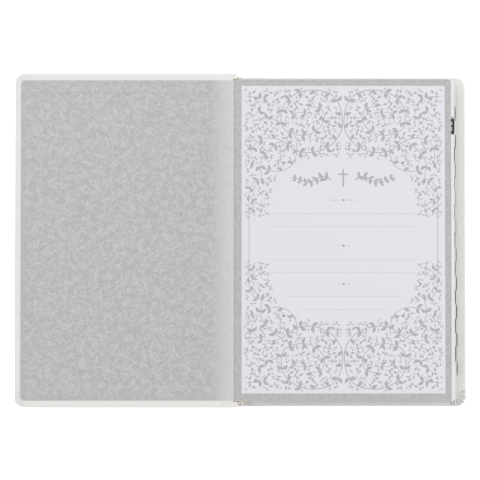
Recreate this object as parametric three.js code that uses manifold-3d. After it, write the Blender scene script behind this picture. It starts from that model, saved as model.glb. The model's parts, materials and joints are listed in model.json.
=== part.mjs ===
// A thumb-indexed bible in a white leather-look cover, lying open at its front cover.
//
// Frame: +X from the spine towards the fore edge, +Y towards the head, +Z up. Millimetres.
// The origin is on the surface the book lies on, under the middle of its open spread.
// The back cover lies flat, the block of leaves stands on it and leans left towards the
// opened front cover, and the front cover is held level with the top of the leaves.

import * as THREE from 'three';
import { mergeVertices } from 'three/addons/utils/BufferGeometryUtils.js';
import Module from 'manifold-3d';

const wasm = await Module();
wasm.setup();

// Cover
const COVER_HEIGHT = 222;
const COVER_REACH = 147.7; // from a cover's hinge line to its fore edge
const COVER_THICKNESS = 3.3;
const COVER_CORNER = 6;
const COVER_EDGE_ROUND = 0.6;
const LEATHER = 0.7;
const BOARD = 1.8;
const TURN_IN_TOP = 3.0;
const TURN_IN_WIDTH = 12;
const BOARD_START = 10.9; // from a cover's hinge line
const JOINT_START = 2.65;
const JOINT_LEATHER = 0.75;
const PASTEDOWN = 0.25;
const PASTEDOWN_START = 2.45;
const PASTEDOWN_END_MARGIN = 4.7;
const PASTEDOWN_FORE_MARGIN = { front: 3.7, back: 5.6 };
const PASTEDOWN_CORNER = 2.5;
const GAP = 0.03; // between flat faces that touch

// Hinges
const AXIS_BELOW_INNER = 0.105; // hinge lines lie this far below the face of the pastedown
const LEAN_SHIFT = 5.6; // how far the spine's top leans left of its foot
const CLOSED_CLEARANCE = 0.2; // closed front cover over the leaves

// Leaves
const LEAF_WIDTH = 144;
const LEAF_HEIGHT = 214;
const LEAF_CORNER = 2.5;
const BLOCK_BOTTOM = COVER_THICKNESS + 0.2;
const BACK_FLYLEAF = 0.25;
const TEXT_BLOCK = 23.4;
const SECOND_SIGNATURE = 2.4;
const FIRST_SIGNATURE = 1.65;
const FLYLEAF = 0.3;
const FLYLEAF_WIDTH = 143.8;
const FLYLEAF_CORNER = 1.9;
const BLOCK_SHEAR = 4.2; // the lowest leaf lies this far right of the highest
const TOP_LEAF_START = -3.25;
const FLYLEAF_START = -4.85;

const textBottom = BLOCK_BOTTOM + BACK_FLYLEAF;
const textTop = textBottom + TEXT_BLOCK;
const signaturesMiddle = textTop + SECOND_SIGNATURE;
const flyleafBottom = signaturesMiddle + FIRST_SIGNATURE;
const blockTop = flyleafBottom + FLYLEAF;

// Thumb index: two runs of scoops, each starting near the head and stepping to the tail.
// The first scoop is open to the top of the block and the others lie within the text.
const SCOOP_RADIUS = 5.6; // at its floor
const SCOOP_FLARE = 0.15; // growth in radius for each millimetre up
const SCOOP_HEIGHT = 4.4;
const SCOOP_SIDES = 28;
const LABEL_RADIUS = 5.2;
const LABEL_THICKNESS = 0.12;
const LABEL_LIFT = 0.02;
const INDEX_PITCH = 19;
const TOP_PLACE = { count: 1, firstY: 76, firstFloor: textTop, step: 0 };
const UPPER_RUN = { count: 8, firstY: 57.3, firstFloor: textTop - 4.5, step: 0.84 };
const LOWER_RUN = { count: 10, firstY: 85.6, firstFloor: textBottom + 11.7, step: 1.2 };

// Spine
const spineHinge = { x: LEAN_SHIFT / 2, z: COVER_THICKNESS - AXIS_BELOW_INNER };
const frontHinge = {
  x: -LEAN_SHIFT / 2,
  z: blockTop + CLOSED_CLEARANCE + AXIS_BELOW_INNER,
};
const spineReach = Math.hypot(LEAN_SHIFT, frontHinge.z - spineHinge.z);
const leanAngle = Math.asin(LEAN_SHIFT / spineReach);
const SPINE_LEATHER = 1.1;
const SPINE_CARD = 0.5;
const SPINE_BULGE = 1.5;
const SPINE_LEATHER_IN = -3.1; // its inner face at the ends, from the hinge line
const SPINE_CARD_IN = -2.45;
const SPINE_LEATHER_Z = [2.1, spineReach - 1.3];
const SPINE_CARD_Z = [3, spineReach - 2.2];
const MULL_X = [-2.35, -2.05];
const MULL_Z = [0.9, spineReach - 0.8];
const MULL_HEIGHT = 200;
const BAND_RADIUS = 0.95;
const BAND_X = -0.9;
const BAND_Z = [1, spineReach - 1.1];
const BAND_CLEAR = 0.15;
const ARC_STEPS = 12;

const material = (color, roughness) =>
  new THREE.MeshStandardMaterial({ color, roughness, metalness: 0 });
const whiteLeather = material(0xe6e5e3, 0.5);
const greyBoard = material(0x9a958c, 0.9);
const card = material(0xd8d5cc, 0.85);
const silverPaper = material(0xc2c0c1, 0.45);
const printedPaper = material(0xe0dfe5, 0.6);
const pagePaper = material(0xf2f0ea, 0.8);
const labelBlack = material(0x141416, 0.4);
const bandCloth = material(0xc9ad6a, 0.7);
const mullCloth = material(0xe4dfd0, 0.95);

const book = new THREE.Group();

/** A named piece in a group. */
function add(group, name, geometry, look) {
  const mesh = new THREE.Mesh(geometry, look);
  mesh.name = name;
  group.add(mesh);
  return mesh;
}

/** A rectangle from x0 to x1 across and centred on Y, with round corners at its x1 side. */
function leafOutline(x0, x1, halfY, corner) {
  const outline = new THREE.Shape();
  outline.moveTo(x0, -halfY);
  outline.lineTo(x1 - corner, -halfY);
  outline.absarc(x1 - corner, -halfY + corner, corner, -Math.PI / 2, 0);
  outline.absarc(x1 - corner, halfY - corner, corner, 0, Math.PI / 2);
  outline.lineTo(x0, halfY);
  outline.closePath();
  return outline;
}

/** An outline raised from z0 to z1, with its edges rounded by round. */
function slab(outline, z0, z1, round = 0) {
  const geometry = new THREE.ExtrudeGeometry(outline, {
    depth: z1 - z0 - 2 * round,
    curveSegments: 6,
    bevelEnabled: round > 0,
    bevelThickness: round,
    bevelSize: round,
    bevelOffset: -round,
    bevelSegments: 2,
  });
  return geometry.translate(0, 0, z0 + round);
}

function toSolid(geometry) {
  const bare = geometry.clone();
  bare.deleteAttribute('normal');
  bare.deleteAttribute('uv');
  const merged = mergeVertices(bare);
  const vertProperties = new Float32Array(merged.attributes.position.array);
  const triVerts = new Uint32Array(merged.index.array);
  return new wasm.Manifold(new wasm.Mesh({ numProp: 3, vertProperties, triVerts }));
}

function toGeometry(solid) {
  const mesh = solid.getMesh();
  const geometry = new THREE.BufferGeometry();
  geometry.setAttribute('position', new THREE.BufferAttribute(mesh.vertProperties, 3));
  geometry.setIndex(new THREE.BufferAttribute(mesh.triVerts, 1));
  geometry.computeVertexNormals();
  return geometry;
}

/** A geometry with others taken out of it. */
function cut(geometry, cutters) {
  const result = cutters.reduce((left, cutter) => left.subtract(toSolid(cutter)), toSolid(geometry));
  return toGeometry(result);
}

// Covers. Both are built alike, with the hinge line at x = 0, the outer face down at z = 0
// and the lined face up, then the front one is turned end for end.

const halfCover = COVER_HEIGHT / 2;

function coverLeather() {
  const start = BOARD_START - LEATHER;
  const outer = leafOutline(start, COVER_REACH, halfCover, COVER_CORNER);
  const boardRoom = leafOutline(
    BOARD_START - GAP,
    COVER_REACH - LEATHER + GAP,
    halfCover - LEATHER + GAP,
    COVER_CORNER - LEATHER,
  );
  const window = leafOutline(
    BOARD_START + LEATHER,
    COVER_REACH - TURN_IN_WIDTH,
    halfCover - TURN_IN_WIDTH,
    PASTEDOWN_CORNER,
  );
  const boardTop = LEATHER + BOARD;
  return cut(slab(outer, 0, TURN_IN_TOP, COVER_EDGE_ROUND), [
    slab(boardRoom, LEATHER - GAP, boardTop + GAP),
    slab(window, LEATHER + GAP, TURN_IN_TOP + 1),
  ]);
}

function coverBoard() {
  const outline = leafOutline(
    BOARD_START,
    COVER_REACH - LEATHER,
    halfCover - LEATHER,
    COVER_CORNER - LEATHER,
  );
  return slab(outline, LEATHER, LEATHER + BOARD);
}

function infillCard() {
  const outline = leafOutline(
    BOARD_START + LEATHER + 0.2,
    COVER_REACH - TURN_IN_WIDTH - 0.2,
    halfCover - TURN_IN_WIDTH - 0.2,
    PASTEDOWN_CORNER,
  );
  return slab(outline, LEATHER + BOARD + GAP, TURN_IN_TOP);
}

function jointLeather() {
  const end = BOARD_START - LEATHER - GAP;
  const outline = leafOutline(JOINT_START, end, halfCover, 0.3);
  return slab(outline, TURN_IN_TOP - JOINT_LEATHER, TURN_IN_TOP);
}

function pastedown(side) {
  const outline = leafOutline(
    PASTEDOWN_START,
    COVER_REACH - PASTEDOWN_FORE_MARGIN[side],
    halfCover - PASTEDOWN_END_MARGIN,
    PASTEDOWN_CORNER,
  );
  return slab(outline, COVER_THICKNESS - PASTEDOWN, COVER_THICKNESS);
}

function makeCover(side) {
  const cover = new THREE.Group();
  add(cover, `${side}_cover_leather`, coverLeather(), whiteLeather);
  add(cover, `${side}_board`, coverBoard(), greyBoard);
  add(cover, `${side}_infill_card`, infillCard(), card);
  add(cover, `${side}_joint_leather`, jointLeather(), whiteLeather);
  add(cover, `${side}_pastedown`, pastedown(side), silverPaper);
  book.add(cover);
  return cover;
}

const backCover = makeCover('back');
backCover.position.set(spineHinge.x, 0, 0);

const frontCover = makeCover('front');
frontCover.position.set(frontHinge.x, 0, frontHinge.z - spineHinge.z);
frontCover.rotation.z = Math.PI;

// Spine. Built upright with the lower hinge line as its origin, then leaned to the left.

/** A strip bowed away from the block, seen from the head, drawn along the whole spine. */
function bowedStrip(innerX, thickness, [z0, z1], length) {
  const bow = (t) => -SPINE_BULGE * Math.sin(Math.PI * t);
  const outline = new THREE.Shape();
  const steps = [...Array(ARC_STEPS + 1).keys()].map((i) => i / ARC_STEPS);
  outline.moveTo(innerX, z0);
  steps.slice(1).forEach((t) => outline.lineTo(innerX + bow(t), z0 + t * (z1 - z0)));
  steps.reverse().forEach((t) => {
    outline.lineTo(innerX - thickness + bow(t), z0 + t * (z1 - z0));
  });
  outline.closePath();
  const geometry = new THREE.ExtrudeGeometry(outline, { depth: length, bevelEnabled: false });
  return geometry.translate(0, 0, -length / 2).rotateX(Math.PI / 2);
}

/** A rounded bead standing at one end of the spine's edge. */
function endBand() {
  const bead = new THREE.CapsuleGeometry(BAND_RADIUS, BAND_Z[1] - BAND_Z[0] - 2 * BAND_RADIUS, 4, 14);
  return bead.rotateX(Math.PI / 2);
}

const spine = new THREE.Group();
spine.position.set(spineHinge.x, 0, spineHinge.z);
spine.rotation.y = -leanAngle;
book.add(spine);

const spineLeather = bowedStrip(SPINE_LEATHER_IN, SPINE_LEATHER, SPINE_LEATHER_Z, COVER_HEIGHT);
add(spine, 'spine_leather', spineLeather, whiteLeather);
const spineCard = bowedStrip(SPINE_CARD_IN, SPINE_CARD, SPINE_CARD_Z, COVER_HEIGHT - 6);
add(spine, 'spine_card', spineCard, card);

const mull = new THREE.BoxGeometry(MULL_X[1] - MULL_X[0], MULL_HEIGHT, MULL_Z[1] - MULL_Z[0]);
add(spine, 'spine_mull', mull, mullCloth).position.set(
  (MULL_X[0] + MULL_X[1]) / 2,
  0,
  (MULL_Z[0] + MULL_Z[1]) / 2,
);

for (const [name, side] of [['head_band', 1], ['tail_band', -1]]) {
  const y = side * (LEAF_HEIGHT / 2 + BAND_CLEAR + BAND_RADIUS);
  add(spine, name, endBand(), bandCloth).position.set(BAND_X, y, (BAND_Z[0] + BAND_Z[1]) / 2);
}

// Thumb index

/** Each place of a run: its y and the height of its scoop's floor. */
function indexRun({ count, firstY, firstFloor, step }) {
  return [...Array(count).keys()].map((i) => ({
    y: firstY - i * INDEX_PITCH,
    floor: firstFloor - i * step,
  }));
}

const indexPlaces = [TOP_PLACE, UPPER_RUN, LOWER_RUN].flatMap(indexRun);
const scoopRadius = (height) => SCOOP_RADIUS + SCOOP_FLARE * height;

/** The flared round cutter of one index place, kept to the leaves from z0 to z1. */
function scoopCutter({ y, floor }, z0, z1) {
  const margin = 0.05;
  const low = floor > z0 + margin ? floor : z0 - 0.5;
  const top = floor + SCOOP_HEIGHT;
  const high = top < z1 - margin ? top : z1 + 0.5;
  const cone = new THREE.CylinderGeometry(
    scoopRadius(high - floor),
    scoopRadius(low - floor),
    high - low,
    SCOOP_SIDES,
  );
  return cone.rotateX(Math.PI / 2).translate(LEAF_WIDTH, y, (low + high) / 2);
}

/** How far right of the highest leaf a leaf at height z starts. */
const leafShift = (z) => (BLOCK_SHEAR * (blockTop - z)) / (blockTop - BLOCK_BOTTOM);

/** Slides each layer of a geometry to the place its height gives it in the leaning block. */
function lean(geometry) {
  const place = geometry.attributes.position;
  for (let i = 0; i < place.count; i += 1) {
    place.setX(i, place.getX(i) + TOP_LEAF_START + leafShift(place.getZ(i)));
  }
  return geometry;
}

// Leaves

/** A stack of whole leaves from z0 to z1, with the index scoops that reach into it. */
function leafStack(z0, z1) {
  const outline = leafOutline(0, LEAF_WIDTH, LEAF_HEIGHT / 2, LEAF_CORNER);
  const scoops = indexPlaces
    .filter(({ floor }) => floor < z1 - 0.05 && floor + SCOOP_HEIGHT > z0 + 0.05)
    .map((place) => scoopCutter(place, z0, z1));
  const stack = slab(outline, z0, z1);
  return lean(scoops.length > 0 ? cut(stack, scoops) : stack);
}

const leaves = new THREE.Group();
book.add(leaves);

add(leaves, 'text_block', leafStack(textBottom, textTop), pagePaper);
add(leaves, 'second_signature', leafStack(textTop, signaturesMiddle), pagePaper);
add(leaves, 'first_signature', leafStack(signaturesMiddle, flyleafBottom), pagePaper);

const backOutline = leafOutline(0, LEAF_WIDTH, LEAF_HEIGHT / 2, LEAF_CORNER);
add(leaves, 'back_flyleaf', lean(slab(backOutline, BLOCK_BOTTOM, textBottom)), silverPaper);

const flyleafOutline = leafOutline(
  FLYLEAF_START,
  FLYLEAF_START + FLYLEAF_WIDTH,
  LEAF_HEIGHT / 2,
  FLYLEAF_CORNER,
);
add(leaves, 'front_flyleaf', slab(flyleafOutline, flyleafBottom, blockTop), printedPaper);

/** A half-round label whose straight side faces the fore edge. */
function indexLabel() {
  const outline = new THREE.Shape();
  outline.absarc(0, 0, LABEL_RADIUS, Math.PI / 2, (3 * Math.PI) / 2);
  outline.closePath();
  return new THREE.ExtrudeGeometry(outline, {
    depth: LABEL_THICKNESS,
    curveSegments: 10,
    bevelEnabled: false,
  });
}

indexPlaces.forEach(({ y, floor }, i) => {
  const edge = TOP_LEAF_START + leafShift(floor) + LEAF_WIDTH - 0.02;
  const name = `index_label_${String(i + 1).padStart(2, '0')}`;
  add(leaves, name, indexLabel(), labelBlack).position.set(edge, y, floor + LABEL_LIFT);
});

export default book;
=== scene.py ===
"""A thumb-indexed bible in a white leather-look cover, lying open at its front cover.

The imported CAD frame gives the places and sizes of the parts, and this file their finer shape. Shapes
are worked out in millimetres in the row frame (+X to the fore edge, +Y to the head, +Z up) and
scaled to metres when meshes are made.
"""

import json
import math

import bmesh
import bpy
import numpy as np
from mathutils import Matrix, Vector


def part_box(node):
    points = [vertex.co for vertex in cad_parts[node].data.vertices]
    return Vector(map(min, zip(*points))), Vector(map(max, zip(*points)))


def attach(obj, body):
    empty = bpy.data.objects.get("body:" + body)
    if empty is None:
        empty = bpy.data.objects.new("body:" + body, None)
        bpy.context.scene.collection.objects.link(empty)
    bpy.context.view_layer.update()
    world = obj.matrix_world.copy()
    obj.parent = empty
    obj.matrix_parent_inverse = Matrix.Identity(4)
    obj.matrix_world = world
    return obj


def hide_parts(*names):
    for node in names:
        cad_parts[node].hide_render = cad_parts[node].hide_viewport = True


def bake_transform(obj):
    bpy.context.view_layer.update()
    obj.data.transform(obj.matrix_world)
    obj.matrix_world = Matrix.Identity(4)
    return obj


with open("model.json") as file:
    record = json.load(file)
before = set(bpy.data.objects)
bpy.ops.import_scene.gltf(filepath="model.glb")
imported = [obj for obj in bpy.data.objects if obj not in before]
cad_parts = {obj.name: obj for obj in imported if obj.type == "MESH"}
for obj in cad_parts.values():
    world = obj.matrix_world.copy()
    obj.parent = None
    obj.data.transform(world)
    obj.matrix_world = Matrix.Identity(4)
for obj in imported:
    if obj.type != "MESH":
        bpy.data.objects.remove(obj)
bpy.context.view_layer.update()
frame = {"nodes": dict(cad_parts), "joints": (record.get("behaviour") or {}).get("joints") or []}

MM = 0.001
leaf_draws = np.random.default_rng(12)


# ---------------------------------------------------------------- the frame, in millimetres


def box_mm(node):
    low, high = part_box(node)
    return np.array(low) / MM, np.array(high) / MM


joint_at = {j["name"]: np.array(j.get("pos_m", (0, 0, 0))) / MM for j in frame["joints"]}
FRONT_AXIS = joint_at["front_cover_hinge"]
BACK_AXIS = joint_at["back_cover_hinge"]
SPINE_REACH = float(np.linalg.norm(BACK_AXIS - FRONT_AXIS))
LEAN = math.asin((BACK_AXIS[0] - FRONT_AXIS[0]) / SPINE_REACH)

# both covers are drawn in the back cover's place; starts and reaches count from its hinge line
COVER_LOW, COVER_HIGH = box_mm("back_cover_leather")
COVER_T = COVER_HIGH[2]  # a cover's thickness; the back cover lies on the ground
HALF_COVER = COVER_HIGH[1]
COVER_START = COVER_LOW[0] - BACK_AXIS[0]
COVER_REACH = COVER_HIGH[0] - BACK_AXIS[0]

PASTE_LOW, PASTE_HIGH = box_mm("back_pastedown")
FRONT_PASTE_LOW, FRONT_PASTE_HIGH = box_mm("front_pastedown")
INNER_FACE = PASTE_HIGH[2]
HALF_PASTE = PASTE_HIGH[1]
PASTE_START = PASTE_LOW[0] - BACK_AXIS[0]
PASTE_REACH = {
    "back": PASTE_HIGH[0] - BACK_AXIS[0],
    "front": FRONT_AXIS[0] - FRONT_PASTE_LOW[0],
}
FRONT_LIFT = FRONT_PASTE_HIGH[2] - INNER_FACE

BACK_FLY_LOW, BACK_FLY_HIGH = box_mm("back_flyleaf")
FLY_LOW, FLY_HIGH = box_mm("front_flyleaf")
FLY_FACE = FLY_HIGH[2] - 0.03  # the printed side of the sheet
BLOCK_BASE = BACK_FLY_LOW[2]
BLOCK_TOP = FLY_HIGH[2]
BLOCK_SHEAR = 4.2  # how much further to +X the lowest leaf lies than the highest
HALF_LEAF = box_mm("text_block")[1][1]
LEAF_WIDTH = 144.0
LEAF_CORNER = 2.5
FLYLEAF_CORNER = 1.9
TOP_LEAF_X = box_mm("first_signature")[0][0]


# ---------------------------------------------------------------- mesh helpers


def make_piece(name, verts, faces, look, smooth=35):
    """A mesh object from points in millimetres, its faces turned outwards."""
    mesh = bpy.data.meshes.new(name)
    mesh.from_pydata([tuple(v) for v in np.asarray(verts, float) * MM], [], faces)
    work = bmesh.new()
    work.from_mesh(mesh)
    bmesh.ops.recalc_face_normals(work, faces=work.faces)
    work.to_mesh(mesh)
    work.free()
    mesh.polygons.foreach_set("use_smooth", [True] * len(mesh.polygons))
    mesh.set_sharp_from_angle(angle=math.radians(smooth))
    mesh.materials.append(look)
    piece = bpy.data.objects.new(name, mesh)
    bpy.context.scene.collection.objects.link(piece)
    return piece


def settle(piece, slot, *nodes):
    """Hides the CAD nodes that a piece stands for. The slot is not used."""
    if nodes:
        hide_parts(*nodes)


def loft(rings):
    """Points and faces of a skin through rings of equal length, with flat ends."""
    count = len(rings[0])
    verts = np.concatenate(rings)
    faces = []
    for k in range(len(rings) - 1):
        a, b = k * count, (k + 1) * count
        for i in range(count):
            j = (i + 1) % count
            faces.append((a + i, a + j, b + j, b + i))
    faces.append(tuple(range(count))[::-1])
    last = (len(rings) - 1) * count
    faces.append(tuple(range(last, last + count)))
    return verts, faces


class Solids:
    """Gathers many small flat solids into one mesh."""

    def __init__(self):
        self.verts = []
        self.faces = []

    def slab(self, outline, z0, z1):
        """A flat solid on a closed outline from z0 to z1."""
        n, base = len(outline), len(self.verts)
        self.verts += [(x, y, z0) for x, y in outline] + [(x, y, z1) for x, y in outline]
        self.faces.append(tuple(base + i for i in reversed(range(n))))
        self.faces.append(tuple(base + n + i for i in range(n)))
        for i in range(n):
            j = (i + 1) % n
            self.faces.append((base + i, base + j, base + n + j, base + n + i))

    def ribbon(self, line, widths, z0, z1):
        """A flat solid band along a line of points, with a width at each."""
        line = np.asarray(line, float)
        along = np.gradient(line, axis=0)
        along /= np.linalg.norm(along, axis=1)[:, None] + 1e-12
        side = np.column_stack([-along[:, 1], along[:, 0]]) * np.asarray(widths)[:, None] / 2
        n, base = len(line), len(self.verts)
        rows = [(line + side, z0), (line - side, z0), (line + side, z1), (line - side, z1)]
        for points, z in rows:
            self.verts += [(x, y, z) for x, y in points]
        for i in range(n - 1):
            a, b, c, d = (base + k * n + i for k in range(4))
            self.faces += [(a, a + 1, b + 1, b), (c, d, d + 1, c + 1)]
            self.faces += [(a, c, c + 1, a + 1), (b, b + 1, d + 1, d)]
        for i in (0, n - 1):
            a, b, c, d = (base + k * n + i for k in range(4))
            self.faces.append((a, b, d, c))

    def piece(self, name, look, smooth=35):
        return make_piece(name, self.verts, self.faces, look, smooth)


def smooth_path(points, steps):
    """A Catmull-Rom line through points, with steps between each two."""
    p = np.asarray(points, float)
    p = np.vstack([2 * p[0] - p[1], p, 2 * p[-1] - p[-2]])
    out = []
    for i in range(1, len(p) - 2):
        for t in np.linspace(0, 1, steps, endpoint=False):
            a, b, c, d = p[i - 1 : i + 3]
            out.append(
                0.5
                * (
                    2 * b
                    + (c - a) * t
                    + (2 * a - 5 * b + 4 * c - d) * t**2
                    + (3 * b - a - 3 * c + d) * t**3
                )
            )
    out.append(p[-2])
    return np.array(out)


def arc(cx, cy, r, begin, end, count):
    """Points on an arc about (cx, cy), from one angle to another in degrees."""
    return [(cx + r * math.cos(a), cy + r * math.sin(a)) for a in np.radians(np.linspace(begin, end, count))]


def ease(x, low, high):
    """0 below low, 1 above high, smooth between."""
    t = np.clip((np.asarray(x, float) - low) / (high - low), 0, 1)
    return t * t * (3 - 2 * t)


# ---------------------------------------------------------------- materials


class Look:
    """A material with one Principled shader and a few helpers for its nodes."""

    def __init__(self, name, colour, roughness, specular=0.5):
        self.material = bpy.data.materials.new(name)
        self.material.use_nodes = True
        self.nodes = self.material.node_tree.nodes
        self.links = self.material.node_tree.links
        self.shader = self.nodes["Principled BSDF"]
        self.colour = (*colour, 1)
        self.shader.inputs["Base Color"].default_value = self.colour
        self.shader.inputs["Roughness"].default_value = roughness
        self.shader.inputs["Specular IOR Level"].default_value = specular
        self.place = self.nodes.new("ShaderNodeTexCoord").outputs["Object"]

    def stretched(self, scale):
        """The object's own coordinates, scaled along each axis."""
        mapping = self.nodes.new("ShaderNodeMapping")
        mapping.inputs["Scale"].default_value = scale
        self.links.new(self.place, mapping.inputs["Vector"])
        return mapping.outputs["Vector"]

    def noise(self, scale, detail=4, stretch=None):
        """Noise from 0 to 1, as large as 1 / scale metres."""
        node = self.nodes.new("ShaderNodeTexNoise")
        node.inputs["Scale"].default_value = scale
        node.inputs["Detail"].default_value = detail
        self.links.new(self.stretched(stretch) if stretch else self.place, node.inputs["Vector"])
        return node.outputs["Fac"]

    def cells(self, scale):
        """Distance to the nearest of scattered points."""
        node = self.nodes.new("ShaderNodeTexVoronoi")
        node.inputs["Scale"].default_value = scale
        self.links.new(self.place, node.inputs["Vector"])
        return node.outputs["Distance"]

    def band(self, value, low, high, a=0.0, b=1.0):
        """value from low to high mapped to a to b, clamped."""
        node = self.nodes.new("ShaderNodeMapRange")
        node.interpolation_type = "SMOOTHSTEP"
        node.inputs["From Min"].default_value = low
        node.inputs["From Max"].default_value = high
        node.inputs["To Min"].default_value = a
        node.inputs["To Max"].default_value = b
        self.links.new(value, node.inputs["Value"])
        return node.outputs["Result"]

    def math(self, operation, a, b):
        node = self.nodes.new("ShaderNodeMath")
        node.operation = operation
        for socket, value in zip(node.inputs, (a, b)):
            if isinstance(value, (int, float)):
                socket.default_value = value
            else:
                self.links.new(value, socket)
        return node.outputs["Value"]

    def axis(self, name):
        """One of the object's own coordinates, in metres."""
        node = self.nodes.new("ShaderNodeSeparateXYZ")
        self.links.new(self.place, node.inputs[0])
        return node.outputs[name]

    def tint(self, factor, colour):
        """Mixes the colour so far towards another by a factor."""
        node = self.nodes.new("ShaderNodeMix")
        node.data_type = "RGBA"
        self.links.new(factor, node.inputs["Factor"])
        base = self.shader.inputs["Base Color"]
        if base.links:
            self.links.new(base.links[0].from_socket, node.inputs["A"])
        else:
            node.inputs["A"].default_value = self.colour
        node.inputs["B"].default_value = (*colour, 1)
        self.links.new(node.outputs["Result"], base)

    def bump(self, height, strength, distance):
        """Adds a bump on top of those already there."""
        node = self.nodes.new("ShaderNodeBump")
        node.inputs["Strength"].default_value = strength
        node.inputs["Distance"].default_value = distance
        self.links.new(height, node.inputs["Height"])
        normal = self.shader.inputs["Normal"]
        if normal.links:
            self.links.new(normal.links[0].from_socket, node.inputs["Normal"])
        self.links.new(node.outputs["Normal"], normal)

    def rough(self, value, low, high):
        """Varies the roughness between low and high."""
        self.links.new(self.band(value, 0.3, 0.7, low, high), self.shader.inputs["Roughness"])


def leather_look():
    """White leather-look cover: pebbled, with slow changes of tone."""
    look = Look("white_leather", (0.66, 0.653, 0.639), 0.5)
    look.tint(look.band(look.noise(60, 3), 0.35, 0.65, 0, 0.2), (0.60, 0.592, 0.57))
    look.bump(look.cells(1900), 0.35, 0.00012)
    look.bump(look.noise(700, 4), 0.3, 0.0001)
    look.rough(look.noise(900, 2), 0.44, 0.58)
    return look.material


def paper_look(name, colour, shade, roughness, grain=0.25):
    """Paper or ink: a colour flecked with its shade."""
    look = Look(name, colour, roughness, 0.35)
    look.tint(look.band(look.noise(1400, 6), 0.35, 0.65, 0, 0.5), shade)
    look.bump(look.noise(2600, 5), grain, 0.00003)
    look.rough(look.noise(500, 3), roughness - 0.05, roughness + 0.06)
    return look


def silver_look(name="silver_endpaper"):
    """Silver ink on paper: mottled, with a faint satin."""
    look = paper_look(name, (0.395, 0.387, 0.391), (0.345, 0.338, 0.342), 0.42)
    look.tint(look.band(look.noise(420, 5), 0.4, 0.6, 0, 0.5), (0.47, 0.462, 0.467))
    look.shader.inputs["Metallic"].default_value = 0.12
    return look


def pastedown_look():
    """Silver endpaper with a painted highlight: paler towards the joint, standing in for light caught where
    the sheet bends into it.
    """
    look = silver_look("silver_pastedown")
    # painted highlight: the silver grows paler towards the joint, as if lit where the sheet bends
    joint_highlight = look.band(look.axis("X"), (FRONT_AXIS[0] - 20) * MM, (FRONT_AXIS[0] - 5) * MM, 0, 0.85)
    look.tint(joint_highlight, (0.53, 0.52, 0.525))
    return look.material


def page_look():
    """White leaves; fine lines run along the edges of the stack, and its faces are plain."""
    look = Look("page_paper", (0.665, 0.665, 0.652), 0.65, 0.3)
    normal = look.nodes.new("ShaderNodeSeparateXYZ")
    look.links.new(look.nodes.new("ShaderNodeTexCoord").outputs["Normal"], normal.inputs[0])
    edge = look.band(look.math("ABSOLUTE", normal.outputs["Z"], 0), 0.5, 0.9, 1, 0)
    lines = look.noise(1, 3, stretch=(30, 30, 9000))
    dark = look.math("MULTIPLY", look.band(lines, 0.4, 0.62, 0, 0.6), edge)
    look.tint(dark, (0.54, 0.54, 0.525))
    look.tint(look.band(look.noise(18, 2), 0.4, 0.65, 0, 0.12), (0.63, 0.625, 0.60))
    look.bump(look.noise(2600, 4), 0.2, 0.00003)
    return look.material


def label_look():
    """Black glossy label with two short pale bars across it."""
    look = Look("index_label", (0.012, 0.012, 0.014), 0.35)
    place = look.nodes.new("ShaderNodeTexCoord").outputs["Generated"]
    split = look.nodes.new("ShaderNodeSeparateXYZ")
    look.links.new(place, split.inputs[0])
    bars = None
    for low, high in ((0.2, 0.46), (0.56, 0.8)):
        along = look.math("COMPARE", split.outputs["Y"], (low + high) / 2)
        along.node.inputs[2].default_value = (high - low) / 2
        bars = along if bars is None else look.math("MAXIMUM", bars, along)
    across = look.math("COMPARE", split.outputs["X"], 0.62)
    across.node.inputs[2].default_value = 0.1
    look.tint(look.math("MULTIPLY", bars, across), (0.6, 0.6, 0.6))
    look.rough(look.noise(900, 2), 0.3, 0.42)
    return look.material


def band_look():
    """Gold and cream threads wound round the bead."""
    look = Look("band_cloth", (0.44, 0.36, 0.22), 0.6, 0.3)
    wave = look.nodes.new("ShaderNodeTexWave")
    wave.bands_direction = "Z"
    wave.inputs["Scale"].default_value = 240
    wave.inputs["Distortion"].default_value = 0.6
    look.links.new(look.place, wave.inputs["Vector"])
    look.tint(look.band(wave.outputs["Fac"], 0.45, 0.6), (0.80, 0.74, 0.60))
    look.bump(look.noise(3000, 3), 0.4, 0.00005)
    return look.material


def cloth_look():
    """Open cotton weave."""
    look = Look("mull_cloth", (0.62, 0.585, 0.49), 0.9, 0.2)
    for direction in ("Y", "Z"):
        wave = look.nodes.new("ShaderNodeTexWave")
        wave.bands_direction = direction
        wave.inputs["Scale"].default_value = 500
        look.links.new(look.place, wave.inputs["Vector"])
        look.tint(look.band(wave.outputs["Fac"], 0.3, 0.7, 0, 0.4), (0.45, 0.42, 0.34))
        look.bump(wave.outputs["Fac"], 0.4, 0.0001)
    return look.material


def board_look():
    """Binder's board: grey, flecked and rough."""
    look = Look("grey_board", (0.30, 0.28, 0.25), 0.9, 0.2)
    look.tint(look.band(look.noise(900, 6), 0.35, 0.65), (0.38, 0.36, 0.33))
    look.bump(look.noise(2000, 5), 0.4, 0.0001)
    return look.material


def floor_look():
    """Plain white floor."""
    look = Look("floor", (0.86, 0.86, 0.86), 0.7, 0.2)
    look.shader.inputs["Emission Color"].default_value = (1, 1, 1, 1)
    look.shader.inputs["Emission Strength"].default_value = 0.35
    look.tint(look.band(look.noise(4, 2), 0.3, 0.7, 0, 0.2), (0.84, 0.84, 0.84))
    return look.material


LEATHER = leather_look()
SILVER = silver_look().material
PASTE = pastedown_look()
PAGES = page_look()
CARD = paper_look("card", (0.60, 0.58, 0.53), (0.55, 0.53, 0.48), 0.8).material
PANEL = paper_look("printed_panel", (0.625, 0.620, 0.660), (0.605, 0.600, 0.640), 0.5, 0.15).material
INK = paper_look("vine_ink", (0.372, 0.367, 0.377), (0.345, 0.340, 0.350), 0.42, 0.1).material
PALE_INK = paper_look("rule_ink", (0.50, 0.495, 0.52), (0.48, 0.475, 0.50), 0.45, 0.1).material
CURL_INK = paper_look("curl_ink", (0.476, 0.468, 0.473), (0.445, 0.437, 0.442), 0.42, 0.1).material
BAND = band_look()
BOARD = board_look()


# ---------------------------------------------------------------- covers


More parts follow.
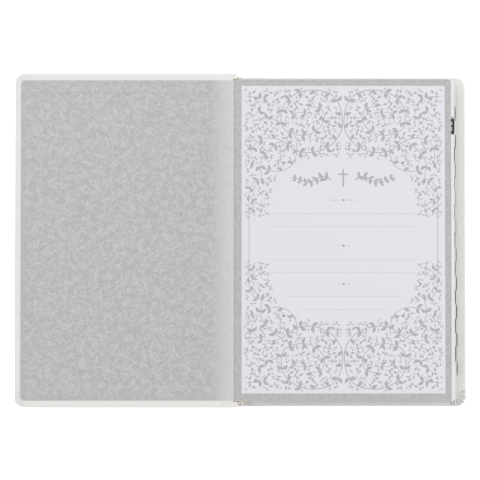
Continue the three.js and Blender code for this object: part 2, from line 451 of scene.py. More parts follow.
FORE_CORNER_STEPS = 96
SPINE_CORNER_STEPS = 6
EDGE_STEPS = 8
APPROACH = 5.0  # the stretch of straight edge next to a corner that is drawn finely
APPROACH_STEPS = 30

FORE_CORNER = 6.5
SPINE_CORNER = 0.3
EXTRA_REACH = {"front": 0.3, "back": 0.6}  # how far the leather goes past the CAD cover's fore edge
SKIN = 0.66  # the leather's thickness
TURN_IN = 12  # how far the leather is turned in over the board
PASTE_CORNER = 2.1  # at the fore edge
PASTE_SPINE_CORNER = 0.2

CREASES = 9
CREASE_PITCH = 13  # degrees round the corner
CREASE_WIDTH = 2.6  # degrees
GATHER_DEPTH = {"front": (0.8, 0.6), "back": (1.7, 0.6)}  # at the tail corner, at the head

# the lining sinks where the leather under it ends: inset from its edge, height
GHOST = ((7.2, 0), (7.9, 0.01), (8.4, -0.05), (9.0, -0.13), (10, -0.15))
JOINT_OVERLAP = 1.1  # how far a joint's leather reaches over its cover's


def edge_steps(length):
    """Shares of the way along a straight edge, close together near its ends."""
    near = np.linspace(0, APPROACH / length, APPROACH_STEPS)
    middle = np.linspace(APPROACH / length, 1 - APPROACH / length, EDGE_STEPS)
    return np.concatenate([near[1:], middle[1:-1], 1 - near[::-1][:-1]])


def rounded_ring(x0, x1, half_y, fore, spine, inset):
    """A closed outline with round corners, drawn inset inside the rectangle."""
    x0, x1, h = x0 + inset, x1 - inset, half_y - inset
    rf, rs = max(fore - inset, 0.05), max(spine - inset, 0.03)
    corners = (
        (x1 - rf, -h + rf, rf, -90, FORE_CORNER_STEPS),
        (x1 - rf, h - rf, rf, 0, FORE_CORNER_STEPS),
        (x0 + rs, h - rs, rs, 90, SPINE_CORNER_STEPS),
        (x0 + rs, -h + rs, rs, 180, SPINE_CORNER_STEPS),
    )
    points = []
    for k, (cx, cy, r, begin, steps) in enumerate(corners):
        points += arc(cx, cy, r, begin, begin + 90, steps + 1)
        nx, ny, nr, nbegin = corners[(k + 1) % 4][:4]
        a = math.radians(nbegin)
        start, end = np.array(points[-1]), np.array((nx + nr * math.cos(a), ny + nr * math.sin(a)))
        for share in edge_steps(np.linalg.norm(end - start)):
            points.append(tuple(start + (end - start) * share))
    return np.array(points)


def gathers(flat, fore_x, depths):
    """Height of the leather gathered round the fore corners: creases fanned between folds."""
    draws = np.random.default_rng(21)
    relief = np.zeros(len(flat))
    centre_inset = 9  # the creases fan out from a point this far inside the corner
    for sign, depth in zip((-1, 1), depths):
        across = flat[:, 0] - (fore_x - centre_inset)
        away = flat[:, 1] * sign - (HALF_COVER - centre_inset)
        angle = np.degrees(np.arctan2(away, across))
        reach = ease(np.hypot(across, away), 3.0, 6.0)
        fan = np.zeros(len(flat))
        for k in range(CREASES):
            crease = -7 + CREASE_PITCH * k + draws.normal(0, 1.2)
            fan -= draws.uniform(0.7, 1.0) * np.exp(-(((angle - crease) / CREASE_WIDTH) ** 2))
        # the fan covers the corner's quarter turn and a little of the edge on either side
        inside = ease(angle, -16, -9) * (1 - ease(angle, 99, 106))
        relief += depth * reach * (fan + 0.45) * inside * (away > -12)
    return relief


def cover_profile():
    """The leather's section from its outer face round the edge and back inside.

    Each point is (inset, height, share of the gathered relief)."""
    low, top = 1.35, 1.15  # the roundings of the outer and the inner edge
    face, lining = COVER_T - 0.03, COVER_T - 0.48  # the turned-in leather's two sides
    section = [(16, 0, 0), (7, 0, 0), (3, 0.02, 0)]
    for a in np.radians(np.linspace(0, 90, 7)):
        section.append((low - low * math.sin(a), low - low * math.cos(a), 0))
    for a in np.radians(np.linspace(0, 90, 7)):
        height = COVER_T - top + top * math.sin(a)
        section.append((top - top * math.cos(a), height, 0.1 + 0.6 * math.sin(a)))
    section += [(1.9, COVER_T - 0.02, 0.75), (2.7, face, 0.75), (3.6, face, 0.6)]
    section += [(5, face, 0.3), (8, face, 0), (TURN_IN, face, 0)]
    section += [(TURN_IN, COVER_T - 0.46, 0), (8, lining, 0), (5, lining, 0.3)]
    section += [(3.6, lining, 0.4), (SKIN + 0.5, lining, 0.3)]
    section += [(SKIN, COVER_T - 0.7, 0), (SKIN, SKIN + 0.2, 0), (SKIN + 0.5, SKIN, 0)]
    section += [(7, SKIN, 0), (16, SKIN, 0)]
    return section


def to_front(points):
    """Carries points from the back cover's place to the front cover's."""
    p = np.array(points, float)
    p[:, 0] = FRONT_AXIS[0] + BACK_AXIS[0] - p[:, 0]
    p[:, 2] += FRONT_LIFT
    return p


def cover_skin(side):
    """One cover's leather, turned in round the board on all four sides."""
    rings = []
    spine_x = BACK_AXIS[0] + COVER_START
    fore_x = BACK_AXIS[0] + (COVER_REACH + EXTRA_REACH[side])
    for inset, height, share in cover_profile():
        flat = rounded_ring(spine_x, fore_x, HALF_COVER, FORE_CORNER, SPINE_CORNER, inset)
        relief = gathers(flat, fore_x, GATHER_DEPTH[side]) * share
        rings.append(np.column_stack([flat, height + relief]))
    verts, faces = loft(rings)
    if side == "front":
        verts = to_front(verts)
    piece = make_piece(f"{side}_cover_skin", verts, faces, LEATHER, 50)
    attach(piece, f"{side}_cover")
    settle(piece, "white_leather", f"{side}_cover_leather")


def pastedown_sheet(side):
    """The lining sheet, with the ghost of the turned-in leather under it."""
    top, under = INNER_FACE, COVER_T + 0.02
    section = [(12, under), (0, under), (0, top - 0.06), (0.1, top), (0.35, top), (7.0, top)]
    section += [(inset, top + sunk) for inset, sunk in GHOST]
    section.append((16, top + GHOST[-1][1]))
    spine_x, fore_x = BACK_AXIS[0] + PASTE_START, BACK_AXIS[0] + PASTE_REACH[side]
    rings = []
    for inset, height in section:
        flat = rounded_ring(spine_x, fore_x, HALF_PASTE, PASTE_CORNER, PASTE_SPINE_CORNER, inset)
        rings.append(np.column_stack([flat, np.full(len(flat), height)]))
    verts, faces = loft(rings)
    if side == "front":
        verts = to_front(verts)
    piece = make_piece(f"{side}_pastedown_sheet", verts, faces, PASTE if side == "front" else SILVER)
    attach(piece, f"{side}_cover")
    settle(piece, "silver_endpaper", f"{side}_pastedown")


def leather_strip(name, outer, thickness, towards):
    """A strip of leather along an outer line in X and Z, rounded at head and tail.

    Each point of the line has a thickness, laid on the side where the point towards lies."""
    outer = np.asarray(outer, float)
    along = np.gradient(outer, axis=0)
    along /= np.linalg.norm(along, axis=1)[:, None]
    normal = np.column_stack([-along[:, 1], along[:, 0]])
    facing = np.sum(normal * (np.asarray(towards) - outer), axis=1)
    normal *= np.where(np.median(facing) < 0, -1, 1)
    rings = []
    for point, n, t in zip(outer, normal, thickness):
        ring = []
        r = t / 2
        for sign in (-1, 1):
            for a in np.radians(np.linspace(-90, 90, 5)):
                y = sign * (HALF_COVER - r + r * math.cos(a))
                lift = r + sign * r * math.sin(a)
                ring.append((point[0] + n[0] * lift, y, point[1] + n[1] * lift))
        rings.append(np.array(ring))
    return make_piece(name, *loft(rings), LEATHER, 50)


SPINE_FOOT = 1.0  # above the lower hinge line
SPINE_SHORT = 1.1  # how far the spine stops below the upper hinge line


def leaned(points):
    """Turns points given upright from the lower hinge line, in X and Z, to the leaning spine."""
    p = np.asarray(points, float)
    c, s = math.cos(LEAN), math.sin(LEAN)
    x = BACK_AXIS[0] + p[:, 0] * c - p[:, 1] * s
    z = BACK_AXIS[2] + p[:, 0] * s + p[:, 1] * c
    return np.column_stack([x, z])


def spine_skin():
    """One strip of leather over the spine and on across the front joint."""
    t = np.linspace(0, 1, 40)
    foot, top, out, bulge = SPINE_FOOT, SPINE_REACH - SPINE_SHORT, -3.75, 2.0
    spine = leaned(np.column_stack([out - bulge * np.sin(math.pi * t), foot + (top - foot) * t]))
    end = spine[-1]
    joint_z = box_mm("front_joint_leather")[0][2]
    board_x = FRONT_AXIS[0] - COVER_START
    turn = [end, end + (0.06, 0.45), (end[0] - 0.35, joint_z - 0.08), (end[0] - 1.2, joint_z)]
    fold = smooth_path(turn, 10)[1:]
    flat = smooth_path([turn[-1], (end[0] - 3.5, joint_z), (board_x - JOINT_OVERLAP, joint_z)], 8)[1:]
    line = np.vstack([spine, fold, flat])
    length = np.concatenate([[0], np.cumsum(np.linalg.norm(np.diff(line, axis=0), axis=1))])
    spine_end = length[len(spine) - 1]
    thickness = 0.35 + 0.6 * ease(length, 0.5, 4) - 0.2 * ease(length, spine_end - 2, spine_end)
    towards = (BACK_AXIS[0] + 20, 45)  # above the block
    piece = leather_strip("spine_and_front_joint_skin", line, thickness, towards)
    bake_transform(piece)
    settle(piece, "white_leather", "spine_leather", "front_joint_leather")


def end_cap(name, sign):
    """The leather tucked in over one end of the spine, beside the band."""
    left, right, low, high = -6.3, -3.35, 29.9, 31.42
    start, end = HALF_LEAF + 0.15, HALF_COVER - 0.1
    middle, half = ((left + right) / 2, (low + high) / 2), ((right - left) / 2, (high - low) / 2)
    a = np.linspace(0, 2 * math.pi, 24, endpoint=False)
    across = np.sign(np.cos(a)) * np.abs(np.cos(a)) ** 0.6
    up = np.sign(np.sin(a)) * np.abs(np.sin(a)) ** 0.6
    rings = []
    for t in np.linspace(0, 1, 9):
        pinch = (1 - abs(2 * t - 1) ** 4) ** 0.25
        x = middle[0] + half[0] * across * (0.86 + 0.14 * pinch)
        z = middle[1] + half[1] * up * (0.55 + 0.45 * pinch)
        y = np.full(len(a), sign * (start + (end - start) * t))
        rings.append(np.column_stack([x, y, z]))
    piece = make_piece(name, *loft(rings), LEATHER, 50)
    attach(piece, "text_block")
    settle(piece, "white_leather")


def back_joint_skin():
    """The strip of leather from under the spine's foot round to the back board."""
    joint_z = box_mm("back_joint_leather")[0][2]
    board_x = BACK_AXIS[0] + COVER_START
    foot = leaned([(-3.2, 4.0)])[0]
    points = [foot, (-0.72, 4.3), (-0.62, 2.9), (0.3, 1.25), (2.2, 0.3), (4.4, 0.55)]
    points += [(6.4, 1.65), (8.6, joint_z - 0.03), (10.6, joint_z), (board_x + JOINT_OVERLAP, joint_z)]
    line = smooth_path(points, 6)
    thickness = 0.4 + 0.35 * ease(np.arange(len(line)), 4, 14)
    piece = leather_strip("back_joint_skin", line, thickness, (BACK_AXIS[0] + 4, 12))
    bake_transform(piece)
    settle(piece, "white_leather", "back_joint_leather")


# ---------------------------------------------------------------- the block of leaves


SCOOP_HEIGHT = 4.4
SCOOP_RADIUS = 5.6
SCOOP_FLARE = 0.15  # how much the radius grows for each millimetre up from the scoop's floor
LABEL_RADIUS = 5.2
LABEL_THICKNESS = 0.12
LABELS = sorted(n for n in frame["nodes"] if n.startswith("index_label_"))


def scoop_places():
    """Each scoop's y and the height of its floor, read from the labels that lie in them."""
    places = []
    for name in LABELS:
        low, high = box_mm(name)
        places.append(((low[1] + high[1]) / 2, low[2] - 0.02))
    return sorted(places)


SCOOPS = scoop_places()


def leaf_shift(z):
    """How far the leaf at height z has slipped towards the fore edge."""
    return BLOCK_SHEAR * (BLOCK_TOP - z) / (BLOCK_TOP - BLOCK_BASE)


def leaf_outline(z, jitter):
    """A leaf's outline at height z in the leaning block, with the scoops cut at its fore edge."""
    left = TOP_LEAF_X + leaf_shift(z) - leaf_shift(BLOCK_TOP - 0.3) + jitter[0]
    right = left + LEAF_WIDTH
    half, corner = HALF_LEAF + jitter[1], LEAF_CORNER
    outline = [(left, -half), *arc(right - corner, -half + corner, corner, -90, 0, 8)]
    for y, floor in SCOOPS:
        if floor < z < floor + SCOOP_HEIGHT:
            outline += arc(right, y, SCOOP_RADIUS + SCOOP_FLARE * (z - floor), -90, -270, 15)
    outline += arc(right - corner, half - corner, corner, 0, 90, 8)
    outline.append((left, half))
    return outline


def leaf_stack(name, node, leaf=0.2):
    """A CAD stack of leaves as separate thin sheets."""
    low, high = box_mm(node)
    count = round((high[2] - low[2]) / leaf)
    step = (high[2] - low[2]) / count
    sheets = Solids()
    for i in range(count):
        z0 = low[2] + i * step
        jitter = leaf_draws.normal(0, 0.05, 2).clip(-0.1, 0.1)
        sheets.slab(leaf_outline(z0 + step / 2, jitter), z0 + 0.004, z0 + step - 0.006)
    return sheets.piece(name, PAGES, 20)


def leaves():
    """The three stacks of leaves, each on the body whose name its CAD node has."""
    for body in ("text_block", "second_signature", "first_signature"):
        piece = leaf_stack(f"{body}_leaves", body)
        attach(piece, body)
        settle(piece, "page_paper", body)


def sheet_outline(x0, x1, half, corner):
    """A sheet with square corners at the spine and round ones at the fore edge."""
    lower = arc(x1 - corner, -half + corner, corner, -90, 0, 8)
    upper = arc(x1 - corner, half - corner, corner, 0, 90, 8)
    return [(x0, -half), *lower, *upper, (x0, half)]


def flyleaf_sheet():
    """The front flyleaf, which reaches a little into the fold."""
    sheet = Solids()
    outline = sheet_outline(FLY_LOW[0] - 0.29, FLY_HIGH[0], FLY_HIGH[1], FLYLEAF_CORNER)
    sheet.slab(outline, FLY_HIGH[2] - 0.22, FLY_FACE)
    piece = sheet.piece("front_flyleaf_sheet", SILVER)
    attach(piece, "flyleaf")
    settle(piece, "printed_flyleaf", "front_flyleaf")


def back_flyleaf_sheet():
    """The flyleaf under the block, as wide as a leaf."""
    sheet = Solids()
    outline = sheet_outline(BACK_FLY_HIGH[0] - LEAF_WIDTH, BACK_FLY_HIGH[0], HALF_LEAF, LEAF_CORNER)
    sheet.slab(outline, BACK_FLY_LOW[2] + 0.02, BACK_FLY_HIGH[2] - 0.02)
    piece = sheet.piece("back_flyleaf_sheet", SILVER)
    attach(piece, "text_block")
    settle(piece, "silver_endpaper", "back_flyleaf")


def index_labels():
    """A black half-round tab in each scoop; its straight side stands a little proud of the leaves."""
    look = label_look()
    for name in LABELS:
        low, high = box_mm(name)
        middle, edge = (low[1] + high[1]) / 2, high[0]
        proud = 0.12 + 0.3 * float(ease(-middle, -30, 60)) + 0.2 * float(ease(middle, 50, 57))
        outline = arc(edge, middle, LABEL_RADIUS, 90, 270, 22)
        for a in np.radians(np.linspace(-90, 90, 8)):
            outline.append((edge + proud * math.cos(a), middle + (LABEL_RADIUS - 0.25) * math.sin(a)))
        tab = Solids()
        tab.slab(outline, low[2], low[2] + LABEL_THICKNESS)
        piece = tab.piece(f"{name}_tab", look)
        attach(piece, "text_block")
        settle(piece, "index_label", name)


# ---------------------------------------------------------------- print on the flyleaf


# the print is laid out from the middle of its panel
PANEL_X = (FLY_LOW[0] + 4.6, FLY_HIGH[0] - 4.1)
PANEL_Y = (-HALF_LEAF + 5.3, HALF_LEAF - 4.3)
PANEL_MID = np.array((sum(PANEL_X) / 2, sum(PANEL_Y) / 2))
PANEL_HALF = np.array((PANEL_X[1] - PANEL_X[0], PANEL_Y[1] - PANEL_Y[0])) / 2
INK_BASE = FLY_FACE + 0.02  # the panel's face
MARK_TOP = FLY_FACE + 0.045

BORDER = 0.9  # left plain along the panel's edges
CENTRE_GAP = 0.7  # left plain beside the middle line, so that the two halves don't meet
CLEAR_REACH = 13.5  # nothing grows nearer to the panel's middle height
OVAL = (49, 54)  # half sizes of the rounded oval left clear for writing
OVAL_POWER = 3.2
SIDE_LINE = (62.6, 29)  # its x, and how far it reaches up and down

# stems of one quarter of the ornament: points, leaf spacing, leaf size, width
STEMS = (
    # the great scroll
    (((41, 65.6), (31, 59), (20.5, 57.8), (9.8, 61.6), (2.5, 69.6), (0.55, 79), (3.2, 91),
      (9.8, 97.4), (20.5, 99.4), (31, 97), (38.4, 91), (41.2, 83), (40.4, 75), (35, 70.6),
      (27, 69.2), (20.5, 70.8), (14.5, 75.6), (12.5, 81.6), (15.2, 87), (20.8, 88.4)), 9.0, 4.6, 0.6),
    # hanging from it towards the side, and that stem's tail
    (((41, 65.6), (47, 61.6), (53, 55), (55.3, 48.3), (53.7, 40.4)), 9.0, 4.4, 0.55),
    (((53.7, 40.4), (58.8, 38.4), (61.8, 34.2), (62.6, 29)), 7, 3.8, 0.5),
    # a loop under the scroll
    (((31, 64.3), (30.9, 57.7), (33.8, 49.7), (40.4, 45.7), (48.4, 45.4), (53.4, 47)), 9.0, 4.3, 0.5),
    # along the side
    (((41, 66), (49.7, 67.4), (56.4, 65), (60.6, 60), (60.4, 51.5)), 8.6, 4.2, 0.45),
    # inside the scroll
    (((22, 80.4), (27.5, 84.5), (33.5, 83), (34, 77)), 8, 4.0, 0.4),
    # the foot at the side
    (((62.4, 29), (59.4, 24), (60.6, 19), (58.6, 15.4)), 6.4, 3.4, 0.42),
)
TWIGS = (((50, 74), 1.2), ((51, 90), 0.3), ((60, 80), 1.9), ((59, 93), 2.6))  # place and direction
FILL_SIZES = (5.4, 4.2, 3.3, 2.6, 2.1)
RULES = ((17, 48), (8.3, 48), (-13.5, 48), (-22.2, 48), (-38, 39), (-46.7, 27.6))  # height, half length
SMALL_MARKS = ((26, 9.5), (-4.3, 4.2), (-29.6, 6.0))  # height, reach to each side


def leaf_shape(base, angle, length, width, curl=0.12):
    """A pointed leaf growing from base, bent a little to one side."""
    t = np.linspace(0, 1, 8)
    half = width / 2 * np.sin(math.pi * t**0.75) ** 0.9
    bend = curl * length * np.sin(math.pi * t)
    upper = np.column_stack([t * length, bend + half])
    lower = np.column_stack([t * length, bend - half])[::-1][1:-1]
    local = np.vstack([upper, lower])
    c, s = math.cos(angle), math.sin(angle)
    return local @ np.array([[c, s], [-s, c]]) + base


def spiral(cx, cy, r0, r1, a0, a1, steps):
    """Points on a spiral whose radius goes from r0 to r1 between two angles in degrees."""
    a = np.radians(np.linspace(a0, a1, steps))
    r = np.linspace(r0, r1, steps)
    return np.column_stack([cx + r * np.cos(a), cy + r * np.sin(a)])


QUARTER_TURN = np.array([(0.0, 1.0), (-1.0, 0.0)])


class Vines:
    """Stems, leaves and sprigs on a flat sheet, kept from touching each other.

    allowed(x, y) says where they may grow; taken holds places in use, as rows of x, y, radius."""

    def __init__(self, allowed, draws):
        self.allowed = allowed
        self.draws = draws
        self.stems = []
        self.leaves = []
        self.taken = np.zeros((0, 3))

    def free(self, points, radius):
        """Whether discs of this radius at the points are allowed and touch nothing."""
        points = np.atleast_2d(points)
        if not all(self.allowed(*p) for p in points):
            return False
        if len(self.taken) == 0:
            return True
        gap = np.linalg.norm(points[:, None] - self.taken[None, :, :2], axis=2)
        return bool((gap > self.taken[None, :, 2] + radius).all())

    def take(self, points, radius):
        """Marks discs of this radius at the points as in use."""
        points = np.atleast_2d(points)
        self.taken = np.vstack([self.taken, np.column_stack([points, np.full(len(points), radius)])])

    def stem(self, line, width):
        """Adds a stem that thins out a little towards its tip."""
        self.stems.append((line, np.linspace(width, width * 0.8, len(line))))

    def leaf(self, base, angle, length, width, curl=0.12, sure=False):
        """Adds a leaf where there is room for it, or in any case when it is sure."""
        shape = leaf_shape(base, angle, length, width, curl)
        spine = base + np.outer((0.35, 0.7, 0.95), (math.cos(angle), math.sin(angle))) * length
        if sure or self.free(spine, width * 0.3):
            self.leaves.append(shape)
            self.take(spine, width * 0.42)

    def leafy_stem(self, line, every, size, width):
        """A stem with a pair of leaves at each step along it, and one at its tip."""
        self.stem(line, width)
        along = np.gradient(line, axis=0)
        heading = np.arctan2(along[:, 1], along[:, 0])
        length = np.concatenate([[0], np.cumsum(np.linalg.norm(np.diff(line, axis=0), axis=1))])
        for place in np.arange(every * 0.5, length[-1] - 2, every):
            k = int(np.searchsorted(length, place))
            lean = 0.25 if int(place / every) % 2 else -0.25
            for side in (1, -1):
                turn = side * 0.95 + lean
                self.leaf(line[k], heading[k] + turn, size, size * 0.5, 0.1 * side)
        self.leaf(line[-1], heading[-1], size, size * 0.5)
        self.take(line[::3], 0.9)

    def twig(self, base, angle, size):
        """A bent twig that ends in a pair of large leaves."""
        t = np.linspace(0, 1, 8)
        way = np.column_stack([np.cos(angle + 0.7 * t), np.sin(angle + 0.7 * t)])
        line = base + np.cumsum(way, axis=0) * size / 8
        self.stem(line, 0.38)
        for side in (1, -1):
            heading = angle + 0.7 + side * 0.7
            self.leaf(line[-1], heading, 0.7 * size, 0.34 * size, 0.1 * side, sure=True)
        self.take(line, 0.6)

    def sprig(self, base, angle, size):
        """A short curved twig with a few small leaves."""
        bend = self.draws.uniform(-0.5, 0.5)
        t = np.linspace(0, 1, 6)
        heading = angle + bend * t
        steps = np.column_stack([np.cos(heading), np.sin(heading)]) * size / 5
        line = base + np.vstack([(0, 0), np.cumsum(steps[:-1], axis=0)])
        ahead = np.array((math.cos(heading[-1]), math.sin(heading[-1]))) * 0.75 * size
        tips = line[-1] + np.array([ahead, ahead @ QUARTER_TURN, ahead @ QUARTER_TURN.T])
        if not self.free(line[1::2], 0.25 * size) or not all(self.allowed(*p) for p in tips):
            return
        self.stem(line, 0.3)
        self.leaf(line[-1], heading[-1], size * 0.55, size * 0.27, 0.1, sure=True)
        for k, side in ((2, 1), (3, -1)):
            turn = heading[k] + side * 0.85
            self.leaf(line[k], turn, size * 0.48, size * 0.22, 0.1 * side, sure=True)
        self.take(line, 0.6)

    def fill(self, area, tries, sizes):
        """Scatters sprigs wherever there is room in area (x0, x1, y0, y1)."""
        x0, x1, y0, y1 = area
        for size in sizes:
            for _ in range(tries):
                base = np.array((self.draws.uniform(x0, x1), self.draws.uniform(y0, y1)))
                angle = self.draws.uniform(0, 2 * math.pi)
                if self.allowed(*base):
                    self.sprig(base, angle, size)

    def print_on(self, solids, carry, z, stem_height, leaf_height, mirrors=((1, 1),)):
        """Adds the stems and leaves to solids, copied by each mirror pair of signs.

        Their heights differ slightly, so that no two faces lie in one plane where they cross."""
        for sx, sy in mirrors:
            sign = np.array((sx, sy))
            for k, (line, widths) in enumerate(self.stems):
                solids.ribbon(carry(line * sign), widths, z, z + stem_height + 0.0004 * (k % 5))
            for k, shape in enumerate(self.leaves):
                solids.slab(carry(shape * sign), z, z + leaf_height + 0.0004 * (k % 9))


def in_ornament(x, y):
    """Inside the panel's border and outside the oval left clear for writing."""
    if not (CENTRE_GAP < x < PANEL_HALF[0] - BORDER and CLEAR_REACH < y < PANEL_HALF[1] - BORDER):
        return False
    return (abs(x) / OVAL[0]) ** OVAL_POWER + (abs(y) / OVAL[1]) ** OVAL_POWER > 1


def quarter_vines():
    """One quarter of the ornament: its stems, a few twigs, and a fill of sprigs."""
    vines = Vines(in_ornament, np.random.default_rng(5))
    for points, every, size, width in STEMS:
        vines.leafy_stem(smooth_path(points, 8), every, size, width)
    for base, angle in TWIGS:
        vines.twig(np.array(base), angle, 6.4)
    vines.fill((0, PANEL_HALF[0], 12, PANEL_HALF[1]), 1500, FILL_SIZES)
    return vines


def on_panel(points):
    """Carries points counted from the panel's middle to their place."""
    return np.asarray(points) + PANEL_MID


def cross_and_sprigs():
    """In place of the title: a small plain cross between two leafy sprigs."""
    marks = Solids()
    mid = 40.5  # above the panel's middle
    half, foot, top = 0.5, -5.6, 6.0  # the upright's half width and ends
    bar, low, high = 3.4, 2.2, 3.2  # the crossbar's half length and edges
    cross = [(-half, foot), (half, foot), (half, low), (bar, low), (bar, high), (half, high), (half, top)]
    cross += [(-x, y) for x, y in reversed(cross)]
    marks.slab(on_panel(np.array(cross) + (0, mid)), INK_BASE, MARK_TOP)
    for side in (-1, 1):
        t = np.linspace(0, 1, 24)
        line = np.column_stack([8 + 27 * t, -1.0 + 2.6 * np.sin(2.6 * math.pi * t) * (1 - 0.5 * t)])
        line = line * (side, 1) + (0, mid)
        marks.ribbon(on_panel(line), np.linspace(0.75, 0.4, len(line)), INK_BASE, MARK_TOP)
        along = np.gradient(line, axis=0)
        for k in range(2, 23, 3):
            heading = math.atan2(along[k, 1], along[k, 0])
            for turn in (0.95, -0.95):
                shape = leaf_shape(line[k], heading + turn, 4.3 - 0.06 * k, 1.9, 0.1)
                marks.slab(on_panel(shape), INK_BASE, MARK_TOP + 0.002)
    return marks


def small_marks(marks):
    """In place of the small words: a lozenge between dots."""
    pitch, radius = 2.1, 0.42
    a = np.linspace(0, 2 * math.pi, 10, endpoint=False)
    circle = np.column_stack([np.cos(a), np.sin(a)])
    for y, reach in SMALL_MARKS:
        lozenge = np.array([(1.5, 0), (0, 0.85), (-1.5, 0), (0, -0.85)]) + (0, y)
        marks.slab(on_panel(lozenge), INK_BASE, MARK_TOP)
        for k in range(max(1, round((reach - 3) / pitch))):
            for side in (-1, 1):
                centre = np.array((side * (3.4 + pitch * k), y))
                marks.slab(on_panel(centre + radius * circle), INK_BASE, MARK_TOP)


def writing_rules():
    """Pale lines to write on."""
    rules = Solids()
    half = 0.14
    for y, reach in RULES:
        rule = np.array([(-reach, y - half), (reach, y - half), (reach, y + half), (-reach, y + half)])
        rules.slab(on_panel(rule), INK_BASE, FLY_FACE + 0.04)
    return rules.piece("flyleaf_rules", PALE_INK)


def side_lines(marks):
    """A line down each side of the panel, from one stem's end to the other's."""
    place, reach = SIDE_LINE
    for x in (-place, place):
        line = np.array([(x, -reach), (x, 0), (x, reach)])
        marks.ribbon(on_panel(line), (0.42, 0.42, 0.42), INK_BASE, FLY_FACE + 0.031)


def flyleaf_print():
    """The presentation page's panel, and everything printed on it."""
    panel = Solids()
    (x0, x1), (y0, y1) = PANEL_X, PANEL_Y
    panel.slab([(x0, y0), (x1, y0), (x1, y1), (x0, y1)], FLY_FACE + 0.001, INK_BASE)
    vines = Solids()
    quarters = ((1, 1), (-1, 1), (1, -1), (-1, -1))
    quarter_vines().print_on(vines, on_panel, INK_BASE, 0.012, 0.016, quarters)
    marks = cross_and_sprigs()
    small_marks(marks)
    side_lines(marks)
    pieces = (
        panel.piece("flyleaf_panel_print", PANEL),
        vines.piece("flyleaf_vine_print", INK),
        marks.piece("flyleaf_ornament_print", INK),
        writing_rules(),
    )
    for piece in pieces:
        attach(piece, "flyleaf")
        settle(piece, "printed_flyleaf")


def pastedown_curls():
    """Faint leafy curls printed tone on tone over the front pastedown."""
    draws = np.random.default_rng(9)
    fore_x, spine_x = FRONT_AXIS[0] - PASTE_REACH["front"], FRONT_AXIS[0] - PASTE_START
    border = 2
    x0, x1 = fore_x + border, spine_x - border

    def on_sheet(x, y):
        return x0 < x < x1 and abs(y) < HALF_PASTE - border

    vines = Vines(on_sheet, draws)
    for _ in range(900):
        base = np.array((draws.uniform(x0, x1), draws.uniform(-HALF_PASTE, HALF_PASTE)))
        r, a0 = draws.uniform(2.2, 4.2), draws.uniform(0, 360)
        line = spiral(*base, r, r * 0.35, a0, a0 + draws.choice((-1, 1)) * 300, 14)
        if vines.free(line[::3], 1.5):
            vines.leafy_stem(line, 5.0, 3.0, 0.42)
    vines.fill((x0, x1, -HALF_PASTE, HALF_PASTE), 2500, (4.4, 3.4))
    curls = Solids()
    vines.print_on(curls, np.asarray, 0, 0.008, 0.010)
    verts = np.array(curls.verts)
    x, y = verts[:, 0], np.abs(verts[:, 1])
    inset = np.minimum.reduce([x - fore_x, spine_x - x, HALF_PASTE - y])
    verts[:, 2] += FRONT_PASTE_HIGH[2] + np.interp(inset, *zip(*GHOST)) + 0.001
    piece = make_piece("front_pastedown_curls", verts, curls.faces, CURL_INK)
    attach(piece, "front_cover")
    settle(piece, "silver_endpaper")


# ---------------------------------------------------------------- spine fittings


def end_band(name):
    """A bead of wound thread over a core, on the end of the spine."""
    low, high = box_mm(name)
    radius = 0.37 * (high[1] - low[1])
    middle_y = (low[1] + high[1]) / 2
    middle_y -= 0.2 * math.copysign(1, middle_y)
    a = np.linspace(0, 2 * math.pi, 18, endpoint=False)
    across, up = math.cos(LEAN), math.sin(LEAN)
    depth = -0.9  # from the hinge line, across the spine
    line = leaned([(depth, z) for z in np.linspace(SPINE_FOOT, SPINE_REACH - SPINE_SHORT, 110)])
    rings = []
    for k, (x, z) in enumerate(line):
        end = min(k, len(line) - 1 - k)
        r = radius * min(1, 0.35 + 0.25 * end) * (0.9 + 0.1 * abs(math.sin(k * math.pi / 3)))
        out, side = r * np.cos(a), r * np.sin(a)
        rings.append(np.column_stack([x + out * across, middle_y + side, z + out * up]))
    piece = make_piece(f"{name}_thread", *loft(rings), BAND, 60)
    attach(piece, "text_block")
    settle(piece, "band_cloth", name)


def mull_sheet():
    """Cloth glued over the folded edges of the sections, dipping between them."""
    outer, inner, section_pitch = -2.33, -2.07, 1.35
    upright = np.linspace(0.9, SPINE_REACH - 0.8, 120)
    dip = 0.09 * np.abs(np.sin(upright * math.pi / section_pitch))
    half = box_mm("spine_mull")[1][1]
    ys = np.linspace(-half, half, 40)
    rings = []
    for z, d in zip(upright, dip):
        ring = []
        for depth, way in ((outer + d, ys), (inner + d, ys[::-1])):
            x, height = leaned([(depth, z)])[0]
            ring += [(x, y, height) for y in way]
        rings.append(np.array(ring))
    piece = make_piece("spine_mull_cloth", *loft(rings), cloth_look(), 60)
    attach(piece, "text_block")
    settle(piece, "mull_cloth", "spine_mull")


# ---------------------------------------------------------------- stage


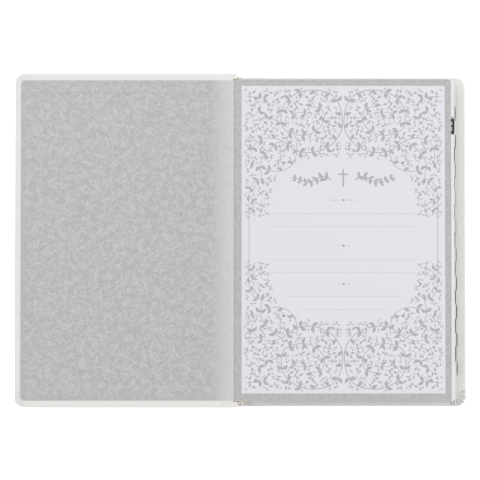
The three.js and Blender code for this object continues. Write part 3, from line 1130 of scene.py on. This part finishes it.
def make_floor():
    """A white floor just under the book."""
    mesh = bpy.data.meshes.new("floor")
    reach = 4.0
    corners = [(-reach, -reach, 0), (reach, -reach, 0), (reach, reach, 0), (-reach, reach, 0)]
    mesh.from_pydata(corners, [], [(0, 1, 2, 3)])
    mesh.materials.append(floor_look())
    floor = bpy.data.objects.new("floor", mesh)
    floor.location.z = -0.0003
    bpy.context.scene.collection.objects.link(floor)


def area_light(name, place, aim, size, power):
    data = bpy.data.lights.new(name, "AREA")
    data.size = size
    data.energy = power
    light = bpy.data.objects.new(name, data)
    light.location = place
    light.rotation_euler = (Vector(aim) - Vector(place)).to_track_quat("-Z", "Y").to_euler()
    bpy.context.scene.collection.objects.link(light)


def make_light():
    """White light from all round, a soft key from the head, and a side light on the leaves."""
    world = bpy.data.worlds.new("studio")
    bpy.context.scene.world = world
    world.use_nodes = True
    world.node_tree.nodes["Background"].inputs["Color"].default_value = (1, 1, 1, 1)
    world.node_tree.nodes["Background"].inputs["Strength"].default_value = 0.93
    area_light("key", (-0.4, 0.9, 1.5), (0, 0, 0), 1.2, 8)
    area_light("side", (1.2, -0.1, 0.5), (0.14, 0, 0.02), 1.0, 5.5)
    bpy.context.scene.view_settings.view_transform = "Standard"


def make_camera():
    """Looks down from 1.7 m, from a little towards the tail."""
    data = bpy.data.cameras.new("camera")
    data.sensor_width = 36
    data.lens = 188.6
    camera = bpy.data.objects.new("camera", data)
    place, aim = Vector((-0.00133, -0.065, 1.70)), Vector((-0.00133, 0, 0.0315))
    camera.location = place
    camera.rotation_euler = (aim - place).to_track_quat("-Z", "Y").to_euler()
    bpy.context.scene.collection.objects.link(camera)
    bpy.context.scene.camera = camera


# ---------------------------------------------------------------- build


make_camera()
make_light()
make_floor()

for side in ("front", "back"):
    cover_skin(side)
    pastedown_sheet(side)
spine_skin()
end_cap("head_cap", 1)
end_cap("tail_cap", -1)
back_joint_skin()
leaves()
flyleaf_sheet()
back_flyleaf_sheet()
index_labels()
flyleaf_print()
pastedown_curls()
end_band("head_band")
end_band("tail_band")
mull_sheet()

# the CAD nodes that still show: boards and cards
for name, node in frame["nodes"].items():
    if node.hide_render:
        continue
    look = BOARD if name.endswith("_board") else CARD
    node.data.materials.clear()
    node.data.materials.append(look)
